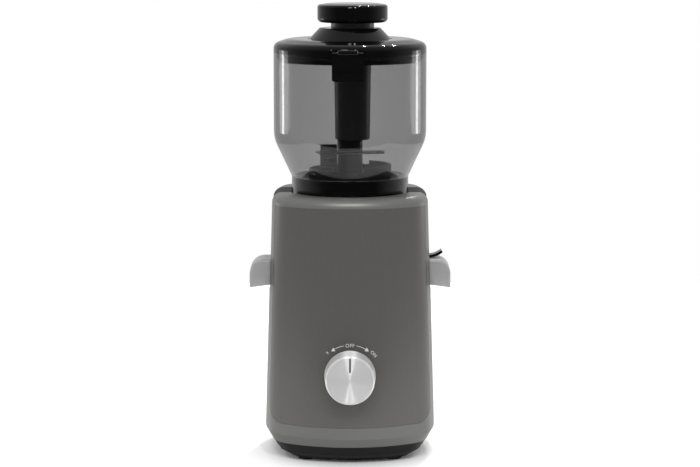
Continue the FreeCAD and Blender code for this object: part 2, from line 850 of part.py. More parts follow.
def make_tall_blade():
    """Upright knife with a foot bent under it and a bent top edge."""
    low = dish_z + dish_thickness
    front = blade_y - blade_gauge / 2
    rear = blade_y + blade_gauge / 2
    outline = [
        (front, low),
        (rear + 1.4, low),
        (rear + 1.4, low + blade_gauge),
        (rear, low + blade_gauge),
        (rear, blade_top_z - 5),
        (rear - 5, blade_top_z),
        (rear - 5 - blade_gauge, blade_top_z - 0.6),
        (front, blade_top_z - 5.8),
    ]
    return slab_along_x(outline, blade_far_x, blade_near_x)


def hopper_cone_slope():
    """Radius gained for each millimetre of height in the hopper's cone."""
    return (hopper_radius - neck_radius) / (hopper_bend_z - neck_top_z)


def make_hopper():
    """Clear wide hopper: neck, cone, bent shoulder and cylinder, with hinge lugs and a catch."""
    inner = hopper_radius - hopper_wall
    neck_inner = neck_radius - hopper_wall
    hopper = turned([
        (neck_inner, drum_top_z),
        (neck_radius, drum_top_z),
        (neck_radius, neck_top_z, 3.0),
        (hopper_radius, hopper_bend_z, hopper_bend_radius),
        (hopper_radius, hopper_top_z),
        (inner, hopper_top_z),
        (inner, hopper_bend_z + 0.5, hopper_bend_radius - hopper_wall),
        (neck_inner, neck_top_z + 0.5, 3.0 + hopper_wall),
    ])
    solid = rod(hopper_radius - 1, drum_top_z, hopper_top_z)
    for side in (-1, 1):
        near = hinge_tongue_half_width + slide_gap
        ends = sorted((side * near, side * (near + hinge_lug_gauge)))
        lug = slab_along_x(
            [
                (hopper_radius - 4, hopper_top_z - 12),
                (hinge_y, hopper_top_z - 6, 3.0),
                (hinge_y + hinge_barrel_radius, hinge_z),
                (hinge_y - hinge_barrel_radius, hinge_z),
                (hopper_radius + 0.6, hopper_top_z - slide_gap),
                (hopper_radius - 4, hopper_top_z - slide_gap),
            ],
            ends[0],
            ends[1],
        )
        lug = lug.fuse(rod_along_x(hinge_barrel_radius, ends[0], ends[1], hinge_y, hinge_z))
        hopper = hopper.fuse(lug.cut(solid))
    far = hinge_tongue_half_width + hinge_lug_gauge + 5
    hopper = hopper.cut(rod_along_x(hinge_pin_radius + grip_gap, -far, far, hinge_y, hinge_z))
    rib_depth = catch_depth()
    catch = box(latch_x - 8, latch_x + 8, -hopper_radius - rib_depth, -hopper_radius + 3, latch_lip_z + 1, latch_lip_z + 4)
    return hopper.fuse(catch.cut(solid))


def catch_depth():
    """How far the catch stands out of the hopper, short of the latch's tooth."""
    return -latch_pivot_y - latch_gauge / 2 - hopper_radius - latch_tooth() - 0.3


def latch_tooth():
    """Height of the small tooth behind the latch."""
    return 1.2


def make_feed_collar():
    """Black throat ring that joins the hopper's neck to the drum."""
    outer_high = neck_radius - hopper_wall - 2 * seat_gap
    outer_low = drum_radius - drum_wall - slide_gap
    collar = turned([
        (outer_high, drum_top_z + 0.3),
        (outer_high, collar_top_z, 1.0),
        (throat_radius + 3, collar_top_z, 1.0),
        (throat_radius, collar_top_z - 3, 1.0),
        (throat_radius, drum_top_z + 15, 1.0),
        (filter_radius + 2, drum_top_z + 8, 1.0),
        (filter_radius + 2, collar_bottom_z),
        (outer_low, collar_bottom_z),
        (outer_low, drum_top_z + 0.3),
    ])
    return collar.cut(ring(outer_low + 1, outer_low - 1, seal_z(), seal_z() + 3))


def seal_z():
    """Height of the groove for the hopper's seal."""
    return (collar_bottom_z + drum_top_z) / 2 - 1


def make_hopper_seal():
    """Silicone ring in the collar's groove, against the drum's wall."""
    outer_low = drum_radius - drum_wall - slide_gap
    return ring(outer_low + slide_gap / 2, outer_low - 1 + seat_gap, seal_z() + seat_gap, seal_z() + 3 - seat_gap)


def make_lid():
    """Domed lid with a raised cone, spigot, guide tube, hinge tongue and latch lugs."""
    spigot_inner = lid_spigot_radius - lid_wall + 0.5
    underside = lid_shoulder_z - lid_wall
    lid = turned([
        (0, cone_top_z - lid_wall),
        (cone_top_radius - 1.5, cone_top_z - lid_wall),
        (cone_foot_radius - 1.5, underside),
        (spigot_inner, underside, 3.0),
        (spigot_inner, lid_spigot_z),
        (lid_spigot_radius, lid_spigot_z),
        (lid_spigot_radius, hopper_top_z),
        (hopper_radius, hopper_top_z),
        (hopper_radius, lid_shoulder_z - 4.5, 7.0),
        (cone_foot_radius + 21, lid_shoulder_z, 25.0),
        (cone_foot_radius, lid_shoulder_z),
        (cone_top_radius, cone_top_z, 1.6),
        (0, cone_top_z),
    ])
    lid = lid.cut(ring(cone_foot_radius + 1.6, cone_foot_radius + 0.6, lid_shoulder_z - 0.6, lid_shoulder_z + 1))
    groove_z = lid_spigot_z + 4
    lid = lid.cut(ring(lid_spigot_radius + 1, lid_spigot_radius - 1, groove_z, groove_z + 3))
    bore = pusher_stem_top + slide_gap
    guide = rod(bore + 2.4, underside - 7, cone_top_z - 1, pusher_x)
    lid = lid.fuse(guide).cut(rod(bore, underside - 8, cone_top_z + 1, pusher_x))
    return cut_pin_holes(lid.fuse(make_hinge_tongue()).fuse(make_latch_lugs()))


def make_hinge_tongue():
    """Knuckle at the rear of the lid."""
    half = hinge_tongue_half_width
    tongue = slab_along_x(
        [
            (hopper_radius - 5, hopper_top_z + slide_gap),
            (hinge_y, hinge_z - hinge_barrel_radius),
            (hinge_y, hinge_z + hinge_barrel_radius),
            (hopper_radius - 5, hinge_z + hinge_barrel_radius),
        ],
        -half,
        half,
    )
    tongue = tongue.fuse(rod_along_x(hinge_barrel_radius, -half, half, hinge_y, hinge_z))
    tongue = tongue.cut(rod(hopper_radius + 0.3, hopper_top_z - 10, hopper_top_z + slide_gap))
    return tongue.cut(rod(hopper_radius - 2, hopper_top_z, hinge_z + hinge_barrel_radius + 1))


def make_latch_lugs():
    """Two ears at the front of the lid that carry the latch's pin."""
    lugs = []
    low = latch_pivot_z - latch_barrel_radius
    high = latch_pivot_z + latch_barrel_radius
    front = latch_pivot_y - latch_gauge / 2
    for side in (-1, 1):
        outer = latch_x + side * latch_half_width
        ends = sorted((outer, outer - side * latch_lug_width))
        lug = box(ends[0], ends[1], front, -hopper_radius + 6, low, high)
        lugs.append(lug.cut(rod(hopper_radius - 2, low - 1, high + 1)))
    return lugs[0].fuse(lugs[1])


def cut_pin_holes(lid):
    """Bores for the hinge pin and the latch pin."""
    half = hinge_tongue_half_width + 1
    lid = lid.cut(rod_along_x(hinge_pin_radius + running_gap, -half, half, hinge_y, hinge_z))
    reach = latch_half_width + 1
    return lid.cut(rod_along_x(latch_pin_radius + grip_gap, latch_x - reach, latch_x + reach, latch_pivot_y, latch_pivot_z))


def make_lid_seal():
    """Silicone ring in the lid's groove."""
    groove_z = lid_spigot_z + 4
    outer = hopper_radius - hopper_wall - 0.35
    return ring(outer, lid_spigot_radius - 1 + seat_gap, groove_z + seat_gap, groove_z + 3 - seat_gap)


def make_lid_hinge_pin():
    """Steel pin of the lid's hinge."""
    reach = hinge_tongue_half_width + slide_gap + hinge_lug_gauge
    return rod_along_x(hinge_pin_radius, -reach, reach, hinge_y, hinge_z)


def make_lid_latch():
    """Front latch: barrel, plate, finger lip and a small tooth."""
    front = latch_pivot_y - latch_gauge / 2
    rear = latch_pivot_y + latch_gauge / 2
    left = latch_x - latch_half_width
    right = latch_x + latch_half_width
    shoulder = latch_pivot_z - latch_barrel_radius - 0.5
    plate = slab_along_y(
        [(left, latch_bottom_z, 2.0), (right, latch_bottom_z, 2.0), (right, shoulder), (left, shoulder)],
        front,
        rear,
    )
    lip = slab_along_y(
        [(left, latch_bottom_z, 2.0), (right, latch_bottom_z, 2.0), (right, latch_lip_z), (left, latch_lip_z)],
        front - 2.0,
        front,
    )
    inner_left = left + latch_lug_width + 0.3
    inner_right = right - latch_lug_width - 0.3
    neck = box(inner_left, inner_right, front, rear, shoulder - 1, latch_pivot_z)
    barrel = rod_along_x(latch_barrel_radius, inner_left, inner_right, latch_pivot_y, latch_pivot_z)
    tooth = box(latch_x - 8, latch_x + 8, rear, rear + latch_tooth(), latch_lip_z + 1, latch_lip_z + 4)
    latch = plate.fuse(lip).fuse(neck).fuse(barrel).fuse(tooth)
    return latch.cut(rod_along_x(latch_pin_radius + running_gap, left, right, latch_pivot_y, latch_pivot_z))


def make_latch_pin():
    """Steel pin of the latch."""
    reach = latch_half_width - 0.5
    return rod_along_x(latch_pin_radius, latch_x - reach, latch_x + reach, latch_pivot_y, latch_pivot_z)


def make_pusher_stem():
    """Tapered hollow stem with the neck that rests on the lid."""
    return turned(
        [
            (0, pusher_stem_z),
            (pusher_stem_low, pusher_stem_z, 1.2),
            (pusher_stem_top, cone_top_z),
            (pusher_neck_radius, cone_top_z),
            (pusher_neck_radius, pusher_neck_z),
            (pusher_stem_top - pusher_wall, pusher_neck_z),
            (pusher_stem_low - pusher_wall, pusher_stem_z + pusher_wall),
            (0, pusher_stem_z + pusher_wall),
        ],
        pusher_x,
    )


def make_pusher_cap():
    """Round grip with soft edges and a plug that fits the stem."""
    plug = pusher_stem_top - pusher_wall - 2 * seat_gap
    return turned(
        [
            (0, pusher_neck_z - 5),
            (plug - 0.5, pusher_neck_z - 5),
            (plug - 0.2, pusher_neck_z),
            (pusher_cap_radius, pusher_neck_z, 4.0),
            (pusher_cap_radius, pusher_cap_top_z - 1.5, 3.0),
            (pusher_cap_radius - 10, pusher_cap_top_z, 30.0),
            (0, pusher_cap_top_z),
        ],
        pusher_x,
    )


def turned_on_knob_axis(outline):
    """Solid of revolution about the knob's axis, from an (r, y) outline."""
    corners = [(Vector(point[0], point[1], knob_z), point[2] if len(point) > 2 else 0.0) for point in outline]
    return flat_face(corners).revolve(Vector(0, 0, knob_z), Y_AXIS, 360)


def make_knob():
    """Spun metal dial with a bevelled face, hollow behind, with a boss for the shaft."""
    boss_radius = switch_shaft_radius + 3
    inner = knob_radius - knob_wall
    knob = turned_on_knob_axis([
        (0, knob_face_y),
        (knob_face_radius, knob_face_y),
        (knob_shoulder_radius, knob_face_y + knob_bevel),
        (knob_radius, knob_back_y),
        (inner, knob_back_y),
        (inner - 1, knob_face_y + knob_wall + knob_bevel),
        (boss_radius, knob_face_y + knob_wall + knob_bevel),
        (boss_radius, knob_back_y - 1),
        (0, knob_back_y - 1),
    ])
    knob = knob.cut(rod_along_y(switch_shaft_radius + grip_gap, knob_face_y + 8, knob_back_y, 0, knob_z))
    return knob.cut(pointer_bar(seat_gap / 2, 0.7))


def pointer_bar(margin, depth):
    """Line from the rim of the dial's face towards its centre."""
    near = knob_z + knob_face_radius * 0.36 - margin
    far = knob_z + knob_face_radius - 0.8 + margin
    return box(-0.8 - margin, 0.8 + margin, knob_face_y - 1, knob_face_y + depth, near, far)


def make_knob_pointer():
    """Dark line let into the dial's face."""
    bar = pointer_bar(0, 0.6)
    return bar.cut(box(-5, 5, knob_face_y - 2, knob_face_y - pointer_proud, knob_z, knob_z + knob_radius))


def make_knob_plinth():
    """Black disc behind the dial, shaped to the bowed panel."""
    plinth = rod_along_y(plinth_radius, knob_back_y + 0.6, -body_half_depth / 2, 0, knob_z)
    plinth = plinth.cut(body_block(knob_z - 40, knob_z + 40, -seat_gap / 2))
    return plinth.cut(rod_along_y(switch_neck_radius + seat_gap, knob_back_y - 1, 0, 0, knob_z))


def make_switch_shaft():
    """Shaft that the dial turns."""
    return rod_along_y(switch_shaft_radius, knob_face_y + 8.2, switch_face_y + switch_depth - 4, 0, knob_z)


def make_rotary_switch():
    """Switch block behind the panel, with the neck that passes through it."""
    half = switch_half_side
    block = box(-half, half, switch_face_y, switch_face_y + switch_depth, knob_z - half, knob_z + half)
    neck = rod_along_y(switch_neck_radius, knob_back_y + 1.5, switch_face_y, 0, knob_z)
    terminals = [
        box(x - 0.4, x + 0.4, switch_face_y + switch_depth, switch_face_y + switch_depth + 8, knob_z - 3, knob_z + 3)
        for x in (-8, 0, 8)
    ]
    switch = block.fuse(neck).fuse(terminals)
    return switch.cut(rod_along_y(switch_shaft_radius + running_gap, knob_back_y - 1, switch_face_y + switch_depth - 3.5, 0, knob_z))


def make_motor_can():
    """Steel can round the stator."""
    return ring(can_radius, can_radius - can_wall, can_z, can_top_z)


def make_end_cap(z_low):
    """Motor end cap with a seat for its bearing and four vents."""
    cap = ring(can_radius, bearing_radius + grip_gap, z_low, z_low + end_cap_thickness)
    vent = box(bearing_radius + 6, can_radius - 8, -4, 4, z_low - 1, z_low + end_cap_thickness + 1)
    return cap.cut(Part.makeCompound(spread(vent, 4)))


def make_motor_bearings():
    """Two plain bearings of the motor shaft."""
    lower = ring(bearing_radius, motor_shaft_radius + running_gap, can_z - end_cap_thickness, can_z)
    upper = ring(bearing_radius, motor_shaft_radius + running_gap, can_top_z, can_top_z + end_cap_thickness)
    return Part.makeCompound([lower, upper])


def make_stator():
    """Stator ring with its winding slots."""
    stator = ring(can_radius - can_wall - grip_gap, rotor_radius + air_gap, stator_z, stator_top_z)
    slot = winding_bar(0, stator_z - 1, stator_top_z + 1)
    return stator.cut(Part.makeCompound(spread(slot, motor_poles)))


def winding_bar(margin, z_low, z_high):
    """One bar of the winding, or the slot it lies in."""
    half = pole_slot_width / 2 - margin
    return box(rotor_radius + 2 + margin, can_radius - can_wall - 4 - margin, -half, half, z_low, z_high)


def make_windings():
    """Copper winding: bars in the slots, joined by a ring at each end."""
    inner = rotor_radius + 2.3
    outer = can_radius - can_wall - 4.3
    bar = winding_bar(0.3, stator_z - winding_height, stator_top_z + winding_height)
    lower = ring(outer, inner, stator_z - winding_height, stator_z - 0.1)
    upper = ring(outer, inner, stator_top_z + 0.1, stator_top_z + winding_height)
    return lower.fuse(upper).fuse(spread(bar, motor_poles))


def make_rotor_core():
    """Rotor body on the motor shaft."""
    return ring(rotor_radius, motor_shaft_radius + grip_gap, stator_z, stator_top_z)


def make_motor_shaft():
    """Motor shaft from the lower bearing to the pinion."""
    return rod(motor_shaft_radius, can_z - end_cap_thickness, first_gear_z + first_gear_width + 1.5)


def make_motor_fan():
    """Cooling fan under the rotor."""
    low = can_z + 0.8
    disc_z = low + 2.4
    hub = ring(bearing_radius, motor_shaft_radius + grip_gap, low, stator_z)
    disc = ring(fan_radius, motor_shaft_radius + grip_gap, disc_z, disc_z + 1.2)
    blade = box(bearing_radius - 1, fan_radius - 0.5, -0.6, 0.6, low, disc_z)
    return hub.fuse(disc).fuse(spread(blade, fan_blades))


def second_wheel_teeth():
    """Teeth of the output gear, so that both stages share one centre distance."""
    return round(2 * gear_spacing / second_module) - second_pinion_teeth


def first_wheel_teeth():
    """Teeth of the first wheel, from the same centre distance."""
    return round(2 * gear_spacing / first_module) - first_pinion_teeth


def gear(teeth, module, z_low, width, turn):
    """Spur gear with involute flanks, turned so that a tooth points at an angle in degrees."""
    pitch = module * teeth / 2
    base = pitch * math.cos(math.radians(pressure_angle))
    tip = pitch + 0.85 * module
    root = pitch - 1.1 * module
    flare = math.tan(math.radians(pressure_angle)) - math.radians(pressure_angle)
    half_tooth = (math.pi * module / 2 - tooth_backlash) / 2 / pitch
    start = max(base, root)

    def flank(radius, tooth_angle, side):
        roll = math.sqrt(max((radius / base) ** 2 - 1, 0))
        angle = tooth_angle + side * (half_tooth + flare - (roll - math.atan(roll)))
        return Vector(radius * math.cos(angle), radius * math.sin(angle), z_low)

    def at_root(tooth_angle, side):
        angle = tooth_angle + side * (half_tooth + flare)
        return Vector(root * math.cos(angle), root * math.sin(angle), z_low)

    edges = []
    last = None
    first = None
    for k in range(teeth):
        tooth_angle = math.radians(turn) + 2 * math.pi * k / teeth
        heights = (start, (start + tip) / 2, tip)
        rising = [flank(height, tooth_angle, -1) for height in heights]
        falling = [flank(height, tooth_angle, 1) for height in reversed(heights)]
        path = rising + falling
        if root < start - 0.01:
            path = [at_root(tooth_angle, -1)] + path + [at_root(tooth_angle, 1)]
        if last is not None:
            edges.append(Part.LineSegment(last, path[0]).toShape())
        else:
            first = path[0]
        for near, far in zip(path, path[1:]):
            edges.append(Part.LineSegment(near, far).toShape())
        last = path[-1]
    edges.append(Part.LineSegment(last, first).toShape())
    return Part.Face(Part.Wire(edges)).extrude(Vector(0, 0, width))


def make_motor_pinion():
    """First pinion, on the motor shaft."""
    pinion = gear(first_pinion_teeth, first_module, first_gear_z - 0.5, first_gear_width + 1, 90.0)
    return pinion.cut(rod(motor_shaft_radius + grip_gap, first_gear_z - 1, first_gear_z + first_gear_width + 1))


def make_compound_gear():
    """First wheel and second pinion in one piece, on the fixed pin."""
    wheel_teeth = first_wheel_teeth()
    wheel = gear(wheel_teeth, first_module, first_gear_z, first_gear_width, 270.0 + 180.0 / wheel_teeth)
    pinion_top = second_gear_z + second_gear_width + 1
    pinion_width = pinion_top - first_gear_z - first_gear_width
    pinion = gear(second_pinion_teeth, second_module, first_gear_z + first_gear_width, pinion_width, 270.0)
    spacer = compound_pin_radius + 1.4
    compound = wheel.fuse(pinion)
    compound = compound.fuse(rod(spacer, case_z + case_wall + 0.7, first_gear_z))
    compound = compound.fuse(rod(spacer, pinion_top, case_top_z - 0.4))
    compound = compound.cut(rod(compound_pin_radius + running_gap, case_z, case_top_z))
    compound.translate(Vector(0, gear_spacing, 0))
    return compound


def make_compound_pin():
    """Fixed pin of the compound gear."""
    return rod(compound_pin_radius, case_z + 1, case_top_z + 2, 0, gear_spacing)


def make_output_gear():
    """Large wheel on the output shaft, lightened by round holes."""
    teeth = second_wheel_teeth()
    wheel = gear(teeth, second_module, second_gear_z, second_gear_width, 90.0 + 180.0 / teeth)
    hole = rod(3.5, second_gear_z - 1, second_gear_z + second_gear_width + 1, 14.5)
    wheel = wheel.cut(Part.makeCompound(spread(hole, 6)))
    return wheel.cut(rod(output_shaft_radius + grip_gap, second_gear_z - 1, second_gear_z + second_gear_width + 1))


def make_output_shaft():
    """Shaft with a collar above the gear and a hexagonal drive dog on top."""
    collar_z = second_gear_z + second_gear_width
    shaft = rod(output_shaft_radius, second_gear_z - 1, deck_z + 1)
    shaft = shaft.fuse(rod(output_collar_radius, collar_z, case_top_z - 0.2))
    return shaft.fuse(hexagon(output_flats, deck_z, output_top_z))


def gear_case_outline(radius, z_low, z_high):
    """Oblong block round both gear axes."""
    near = rod(radius, z_low, z_high)
    far = rod(radius, z_low, z_high, 0, gear_spacing)
    return near.fuse(far).fuse(box(-radius, radius, 0, gear_spacing, z_low, z_high)).removeSplitter()


def gear_ear_points():
    """Centres of the four ears of the gearbox."""
    return [(side * ear_x, y) for side in (-1, 1) for y in (ear_front_y, ear_rear_y)]


def make_gear_case():
    """Lower half of the gearbox, open above."""
    case = gear_case_outline(case_radius, case_z, case_top_z)
    case = case.cut(gear_case_outline(case_radius - case_wall, case_z + 3, case_top_z))
    case = case.cut(rod(motor_shaft_radius + 0.7, case_z, case_z + 3))
    return case.cut(rod(compound_pin_radius + grip_gap, case_z + 1, case_z + 3, 0, gear_spacing))


def make_gear_lid():
    """Gearbox lid with the four ears that bolt it under the deck."""
    lid = gear_case_outline(case_radius, case_top_z, gear_lid_z)
    for y in (ear_front_y, ear_rear_y):
        lid = lid.fuse(box(-ear_x, ear_x, y - ear_radius, y + ear_radius, case_top_z, gear_lid_z))
    for x, y in gear_ear_points():
        lid = lid.fuse(rod(ear_radius, case_top_z, gear_lid_z, x, y))
        lid = lid.cut(rod(gear_screw_radius + seat_gap, case_top_z, gear_lid_z, x, y))
    lid = lid.cut(rod(output_bush_radius + grip_gap, case_top_z, gear_lid_z))
    return lid.cut(rod(compound_pin_radius + grip_gap, case_top_z, case_top_z + 2.2, 0, gear_spacing))


def make_gear_screws():
    """Four screws up through the ears into the deck's bosses."""
    screws = []
    for x, y in gear_ear_points():
        head = rod(gear_screw_radius + 1.5, case_top_z - 2, case_top_z, x, y)
        screws.append(head.fuse(rod(gear_screw_radius, case_top_z, deck_z - 2, x, y)))
    return Part.makeCompound(screws)


def make_output_bush():
    """Bronze bush of the output shaft in the gearbox lid."""
    return ring(output_bush_radius, output_shaft_radius + running_gap, case_top_z, gear_lid_z)


def make_deck_seal():
    """Lip seal of the shaft in the deck."""
    return ring(output_bush_radius, output_shaft_radius + running_gap, deck_z - deck_thickness, deck_z)


pieces = {
    "housing": make_housing(),
    "front_panel": make_front_panel(),
    "top_cover": make_top_cover(),
    "base_pan": make_base_pan(),
    "rubber_feet": make_feet(),
    "base_screws": make_base_screws(),
    "control_board": make_control_board(),
    "cord_gland": make_cord_gland(),
    "drum": make_drum(),
    "pulp_plug": make_pulp_plug(),
    "drum_seal": make_drum_seal(),
    "juice_lever": make_juice_lever(),
    "lever_pin": make_lever_pin(),
    "filter_basket": make_filter_basket(),
    "auger": make_auger(),
    "cutter_dish": make_cutter_dish(),
    "cutter_hub": make_cutter_hub(),
    "hub_cap": make_hub_cap(),
    "wing_blade": make_wing_blade(),
    "tall_blade": make_tall_blade(),
    "hopper": make_hopper(),
    "feed_collar": make_feed_collar(),
    "hopper_seal": make_hopper_seal(),
    "lid": make_lid(),
    "lid_seal": make_lid_seal(),
    "lid_hinge_pin": make_lid_hinge_pin(),
    "lid_latch": make_lid_latch(),
    "latch_pin": make_latch_pin(),
    "pusher_stem": make_pusher_stem(),
    "pusher_cap": make_pusher_cap(),
    "knob": make_knob(),
    "knob_pointer": make_knob_pointer(),
    "knob_plinth": make_knob_plinth(),
    "switch_shaft": make_switch_shaft(),
    "rotary_switch": make_rotary_switch(),
    "motor_can": make_motor_can(),
    "motor_lower_cap": make_end_cap(can_z - end_cap_thickness),
    "motor_upper_cap": make_end_cap(can_top_z),
    "motor_bearings": make_motor_bearings(),
    "stator": make_stator(),
    "windings": make_windings(),
    "rotor_core": make_rotor_core(),
    "motor_shaft": make_motor_shaft(),
    "motor_fan": make_motor_fan(),
    "motor_pinion": make_motor_pinion(),
    "compound_gear": make_compound_gear(),
    "compound_pin": make_compound_pin(),
    "output_gear": make_output_gear(),
    "output_shaft": make_output_shaft(),
    "gear_case": make_gear_case(),
    "gear_lid": make_gear_lid(),
    "gear_screws": make_gear_screws(),
    "output_bush": make_output_bush(),
    "deck_seal": make_deck_seal(),
}

os.makedirs("parts", exist_ok=True)
for name, shape in pieces.items():
    shape.exportStep(f"parts/{name}.step")
    print(name, len(shape.Solids), round(shape.Volume), shape.isValid())
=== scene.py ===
import math

import bmesh
import bpy
from mathutils import Matrix, Vector


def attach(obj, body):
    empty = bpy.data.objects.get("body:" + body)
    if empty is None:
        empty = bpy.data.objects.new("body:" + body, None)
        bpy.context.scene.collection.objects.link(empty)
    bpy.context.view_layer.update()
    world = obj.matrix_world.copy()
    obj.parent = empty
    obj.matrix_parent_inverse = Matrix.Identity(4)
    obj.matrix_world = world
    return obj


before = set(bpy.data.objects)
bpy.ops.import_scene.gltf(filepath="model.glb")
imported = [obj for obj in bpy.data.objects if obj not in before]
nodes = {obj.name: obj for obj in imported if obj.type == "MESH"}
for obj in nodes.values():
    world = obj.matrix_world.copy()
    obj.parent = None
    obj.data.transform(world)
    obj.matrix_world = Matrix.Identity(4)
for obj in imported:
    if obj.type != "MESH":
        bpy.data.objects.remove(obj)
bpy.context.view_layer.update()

# Camera: a long lens two metres in front, a little above the pusher's cap, looking slightly down.
# The photograph's frame is 700 by 467 pixels, and one pixel of it is about one millimetre.
camera_distance = 2.130
camera_height = 0.5312
camera_pitch = math.radians(8.32)
bpy.ops.object.camera_add(location=(0, -camera_distance, camera_height))
camera = bpy.context.object
camera.name = "studio_camera"
camera.rotation_euler = (math.pi / 2 - camera_pitch, 0, 0)
camera.data.sensor_width = 36
camera.data.lens = 110.7
camera.data.clip_end = 50
bpy.context.scene.camera = camera


# Floor and light: white paper that ends in front of the object, in a white room with soft boxes.
# What shines sees a dimmer room, as when black flags stand beside the camera.
def linear(code):
    """Linear colour from an sRGB hex code such as 808080."""
    channels = [int(code[i:i + 2], 16) / 255 for i in (0, 2, 4)]
    return [c / 12.92 if c <= 0.04045 else ((c + 0.055) / 1.055) ** 2.4 for c in channels] + [1.0]


def add_node(tree, kind, settings=None, links=None):
    """Adds one node with its settings, by attribute or socket, and with links to its sockets."""
    node = tree.nodes.new("ShaderNode" + kind)
    for name, value in (settings or {}).items():
        if isinstance(name, int) or name in node.inputs:
            node.inputs[name].default_value = value
        else:
            setattr(node, name, value)
    for name, source in (links or {}).items():
        tree.links.new(source, node.inputs[name])
    return node


world = bpy.data.worlds.new("white_room")
world.use_nodes = True
tree = world.node_tree
tree.nodes.clear()
direction = add_node(tree, "TexCoord")
split = add_node(tree, "SeparateXYZ", links={"Vector": direction.outputs["Generated"]})
depth_fade = add_node(
    tree, "MapRange",
    {"From Min": -0.6, "From Max": 0.8, "To Min": 0.05, "To Max": 0.65},
    {"Value": split.outputs["Y"]},
)
path = add_node(tree, "LightPath")
brightness = add_node(
    tree, "Mix", {"data_type": "FLOAT", 2: 1.0},
    {0: path.outputs["Glossy Depth"], 3: depth_fade.outputs["Result"]},
)
sky = add_node(
    tree, "Background", {"Color": linear("ffffff")}, {"Strength": brightness.outputs[0]},
)
add_node(tree, "OutputWorld", links={"Surface": sky.outputs["Background"]})
bpy.context.scene.world = world
bpy.context.scene.view_settings.view_transform = "Standard"


def soft_box(name, place, aim, width, height, watts):
    """Rectangular soft box that faces a point."""
    bpy.ops.object.light_add(type="AREA", location=place)
    lamp = bpy.context.object
    lamp.name = name
    lamp.data.shape = "RECTANGLE"
    lamp.data.size = width
    lamp.data.size_y = height
    lamp.data.energy = watts
    lamp.rotation_euler = (Vector(aim) - Vector(place)).to_track_quat("-Z", "Y").to_euler()


# Two pairs stand behind the object, low at its sides, and draw the streaks on the hopper.
side_lamp_height = 0.22
body_middle = (0, 0, side_lamp_height)
for side, name, core_watts in ((-1, "left", 0.5), (1, "right", 0.45)):
    core_place = (side * 1.32, 0.72, side_lamp_height)
    spread_place = (side * 1.4, 0.74, side_lamp_height)
    soft_box(name + "_core", core_place, body_middle, 0.16, 0.2, core_watts)
    soft_box(name + "_spread", spread_place, body_middle, 0.7, 0.2, 0.6)

# Two lamps in front, high up, make the cones of light on the dial.
dial_aim = (0, 0, 0.1)
soft_box("dial_lamp", (0.34, -1.9, 1.7), dial_aim, 0.05, 0.5, 12)
soft_box("dial_fill", (-0.3, -1.9, 1.7), dial_aim, 0.35, 0.5, 12)

# Three small lamps high behind it make the sparks on the gloss black pieces.
lid_aim = (0, 0, 0.4)
spark_side = 0.04
for name, place, watts in (
    ("spark_lamp_inner", (0.23, 0.73, 2.05), 8),
    ("spark_lamp_middle", (0.48, 0.93, 1.89), 5),
    ("spark_lamp_outer", (0.57, 1.09, 1.73), 5),
):
    soft_box(name, place, lid_aim, spark_side, spark_side, watts)
bpy.ops.object.light_add(type="SUN", location=(0, 0, 3))
ceiling = bpy.context.object
ceiling.name = "ceiling_light"
ceiling.data.energy = 0.4
ceiling.data.angle = 2.4


def object_space(tree, scale, shift=(0, 0, 0)):
    """Object coordinates, scaled and shifted, for a pattern that stays on its piece."""
    coordinates = add_node(tree, "TexCoord")
    mapping = add_node(
        tree, "Mapping", {"Scale": scale, "Location": shift},
        {"Vector": coordinates.outputs["Object"]},
    )
    return mapping.outputs["Vector"]


def grains(tree, size_mm, stretch=(1, 1, 1), detail=2.0):
    """Noise whose grains have a real size in millimetres."""
    per_metre = 1000.0 / size_mm
    place = object_space(tree, tuple(per_metre / share for share in stretch))
    noise = add_node(tree, "TexNoise", {"Scale": 1.0, "Detail": detail}, {"Vector": place})
    return noise.outputs["Fac"]


def two_tones(tree, source, first, second):
    """Colour between two near tones."""
    tones = {"data_type": "RGBA", 6: linear(first), 7: linear(second)}
    return add_node(tree, "Mix", tones, {0: source}).outputs[2]


def new_material(name):
    """Empty node material."""
    material = bpy.data.materials.new(name)
    material.use_nodes = True
    material.node_tree.nodes.clear()
    return material, material.node_tree


def close_material(tree, settings, links):
    """Principled shader, joined to the output."""
    shader = add_node(tree, "BsdfPrincipled", settings, links)
    add_node(tree, "OutputMaterial", links={"Surface": shader.outputs["BSDF"]})


paper, tree = new_material("white_paper")
fibres = grains(tree, 3.0)
close_material(
    tree, {"Roughness": 0.9}, {"Base Color": two_tones(tree, fibres, "f6f6f6", "fafafa")},
)
floor_side = 1.4
floor_middle = 0.3
bpy.ops.mesh.primitive_plane_add(size=floor_side, location=(0, floor_middle, 0))
floor = bpy.context.object
floor.name = "paper_floor"
floor.data.materials.append(paper)


# Tower housing and top cover: ABS mouldings sprayed with a satin metallic grey.
# The flakes glow softly along the edges, and there is no sharp reflection.
def between(tree, source, low, high):
    """Number between two limits."""
    limits = {"To Min": low, "To Max": high}
    return add_node(tree, "MapRange", limits, {"Value": source}).outputs["Result"]


def bumps(tree, source, height_mm):
    """Relief of a real height in millimetres."""
    settings = {"Strength": 1.0, "Distance": height_mm / 1000.0}
    return add_node(tree, "Bump", settings, {"Height": source}).outputs["Normal"]


def dress(material, *names):
    """Puts a finish on pieces of the frame."""
    for name in names:
        for slot in nodes[name].material_slots:
            slot.material = material


sprayed, tree = new_material("metallic_sprayed_abs")
flakes = grains(tree, 0.5, detail=0.0)
close_material(
    tree,
    {"Metallic": 0.4},
    {
        "Base Color": two_tones(tree, flakes, "6a6a68", "727270"),
        "Roughness": between(tree, grains(tree, 30.0), 0.36, 0.42),
        "Normal": bumps(tree, flakes, 0.004),
    },
)
dress(sprayed, "housing", "top_cover")

